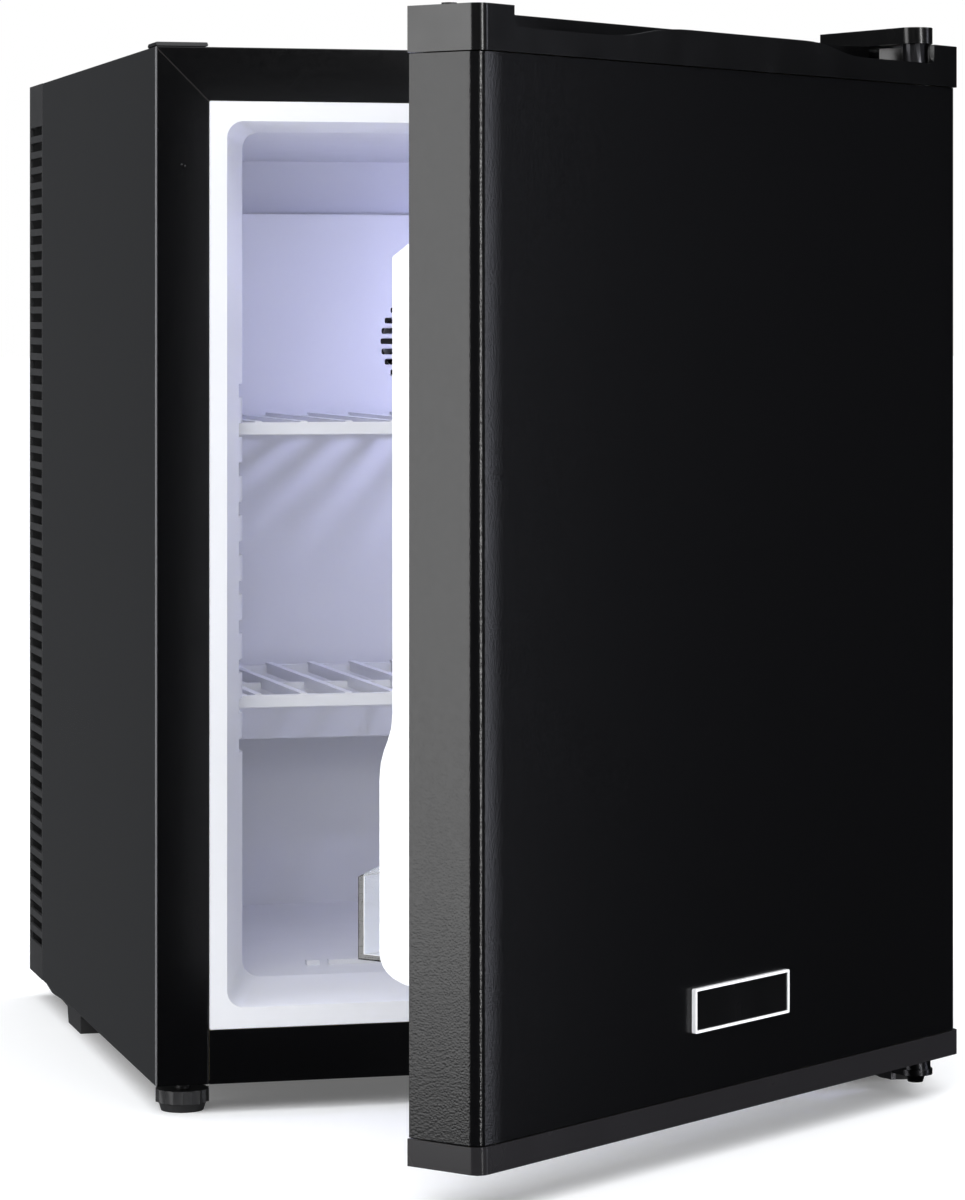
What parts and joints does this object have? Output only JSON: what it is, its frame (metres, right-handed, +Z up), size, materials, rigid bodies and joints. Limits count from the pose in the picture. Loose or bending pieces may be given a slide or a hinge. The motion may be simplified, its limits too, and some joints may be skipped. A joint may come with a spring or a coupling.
{
  "type": "mini fridge",
  "caption": "Black table-top mini fridge with a white lit interior, shelves, and a right-hinged door left ajar.",
  "frame": {"origin": "middle of the whole footprint with the door ajar, at ground level", "axes": "+X towards the door's hinge side, +Y towards the rear cover, +Z up; the door faces -Y"},
  "size_m": [0.426, 0.7138, 0.561],
  "materials": {
    "black_steel": "satin black paint with a fine pebble",
    "black_plastic": "glossy black moulding",
    "white_plastic": "smooth cool white moulding",
    "clear_plastic": "clear moulding",
    "gasket": "soft light grey",
    "rigid_foam": "rigid insulating foam",
    "zinc_steel": "bright zinc plate",
    "aluminium": "plain",
    "ceramic": "matt ceramic and board",
    "brass": "plain"
  },
  "bodies": {
    "cabinet": {"outer_shell": "black_steel", "front_bottom_rail": "black_steel", "base_pan": "black_steel", "rear_panel": "black_steel", "cabinet_foam": "rigid_foam", "inner_liner": "white_plastic", "duct_cover": "white_plastic", "cold_sink": "aluminium", "transfer_block": "aluminium", "peltier_module": "ceramic", "hot_sink": "aluminium", "cold_fan_frame": "black_plastic", "hot_fan_frame": "black_plastic", "rear_cover": "black_plastic", "rear_cover_screw_1": "zinc_steel", "rear_cover_screw_2": "zinc_steel", "rear_cover_screw_3": "zinc_steel", "rear_cover_screw_4": "zinc_steel", "power_inlet": "black_plastic", "inlet_pin_earth": "brass", "inlet_pin_live": "brass", "inlet_pin_neutral": "brass", "power_supply": "aluminium", "control_housing": "white_plastic", "lamp_lens": "clear_plastic", "lamp_board": "ceramic", "foot_nut_left": "zinc_steel", "foot_nut_right": "zinc_steel", "rear_foot_left": "black_plastic", "rear_foot_right": "black_plastic", "top_hinge_bracket": "zinc_steel", "top_hinge_cover": "black_plastic", "top_hinge_screw_1": "zinc_steel", "top_hinge_screw_2": "zinc_steel", "bottom_hinge_bracket": "zinc_steel", "bottom_hinge_screw_1": "zinc_steel", "bottom_hinge_screw_2": "zinc_steel", "spare_hinge_plug": "black_plastic"},
    "door": {"door_panel": "black_steel", "door_foam": "rigid_foam", "door_top_cap": "black_plastic", "door_bottom_cap": "black_plastic", "door_spare_plug": "black_plastic", "top_hinge_bush": "white_plastic", "bottom_hinge_bush": "white_plastic", "door_liner": "white_plastic", "door_gasket": "gasket", "badge_frame": "zinc_steel", "badge_plate": "black_plastic"},
    "bin_body": {"bottle_bin": "clear_plastic"},
    "rack_body": {"upper_rack": "clear_plastic"},
    "upper_shelf_body": {"upper_shelf": "white_plastic"},
    "lower_shelf_body": {"lower_shelf": "white_plastic"},
    "knob_body": {"thermostat_knob": "white_plastic"},
    "switch_body": {"lamp_switch": "white_plastic"},
    "cold_fan_body": {"cold_fan_rotor": "black_plastic"},
    "hot_fan_body": {"hot_fan_rotor": "black_plastic"},
    "left_foot_body": {"front_foot_left": "black_plastic"},
    "right_foot_body": {"front_foot_right": "black_plastic"}
  },
  "joints": [
    {"name": "door_hinge", "type": "hinge", "parent": "cabinet", "child": "door", "pos_m": [0.184, -0.1088, 0.015], "axis": [0, 0, 1], "range_deg": [-38.1, 81.9]},
    {"name": "bin_lift", "type": "slide", "parent": "door", "child": "bin_body", "axis": [0, 0, 1], "range_m": [0, 0.012]},
    {"name": "rack_lift", "type": "slide", "parent": "door", "child": "rack_body", "axis": [0, 0, 1], "range_m": [0, 0.012]},
    {"name": "upper_shelf_slide", "type": "slide", "parent": "cabinet", "child": "upper_shelf_body", "axis": [0, -1, 0], "range_m": [0, 0.012]},
    {"name": "lower_shelf_slide", "type": "slide", "parent": "cabinet", "child": "lower_shelf_body", "axis": [0, -1, 0], "range_m": [0, 0.012]},
    {"name": "knob_turn", "type": "hinge", "parent": "cabinet", "child": "knob_body", "pos_m": [0.057, 0.0082, 0.4875], "axis": [0, -1, 0], "range_deg": [0, 270]},
    {"name": "switch_rock", "type": "hinge", "parent": "cabinet", "child": "switch_body", "pos_m": [0.109, 0.0082, 0.4875], "axis": [1, 0, 0], "range_deg": [-8, 8]},
    {"name": "cold_fan_spin", "type": "hinge", "parent": "cabinet", "child": "cold_fan_body", "pos_m": [0, 0.2152, 0.395], "axis": [0, 1, 0], "continuous": true},
    {"name": "hot_fan_spin", "type": "hinge", "parent": "cabinet", "child": "hot_fan_body", "pos_m": [0, 0.3242, 0.395], "axis": [0, 1, 0], "continuous": true},
    {"name": "left_foot_screw", "type": "slide", "parent": "cabinet", "child": "left_foot_body", "axis": [0, 0, 1], "range_m": [-0.006, 0]},
    {"name": "right_foot_screw", "type": "slide", "parent": "cabinet", "child": "right_foot_body", "axis": [0, 0, 1], "range_m": [-0.006, 0]}
  ]
}
